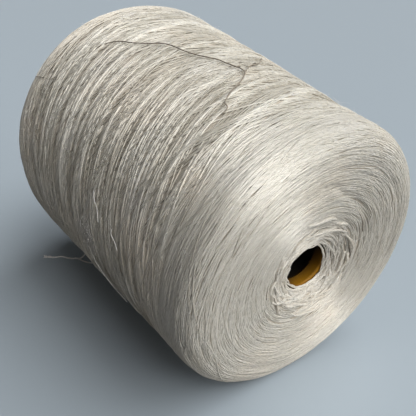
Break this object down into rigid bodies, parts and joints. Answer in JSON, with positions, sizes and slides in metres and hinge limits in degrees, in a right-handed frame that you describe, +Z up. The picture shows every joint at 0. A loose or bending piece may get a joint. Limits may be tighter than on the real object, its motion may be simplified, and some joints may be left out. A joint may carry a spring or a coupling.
{
  "type": "thread cone",
  "caption": "Large cone of silky waxed thread, cross-wound on a tapered hollow plastic core that draws out of the wide end; lies on its side.",
  "frame": {"origin": "on the floor under the middle of the cone as it lies on its side, without its free end of thread", "axes": "+X from the wide end to the nose, +Y to the side, +Z up; the cone's axis falls towards the nose by its half angle"},
  "size_m": [0.1874, 0.1496, 0.1471],
  "materials": {
    "core_plastic": "translucent amber moulded plastic, satin",
    "thread": "silky, lightly waxed, natural white",
    "slack_thread": "the same thread, dusty and grey"
  },
  "bodies": {
    "package": {"thread_body": "thread", "outer_turns_thread": "thread", "mouth_loops": "thread", "slack_strand": "slack_thread", "thread_tail": "thread"},
    "core": {"cone_core": "core_plastic"}
  },
  "joints": [
    {"name": "core_slide", "type": "slide", "parent": "package", "child": "core", "axis": [-0.9946, 0, 0.1037], "range_m": [0, 0.16]}
  ]
}
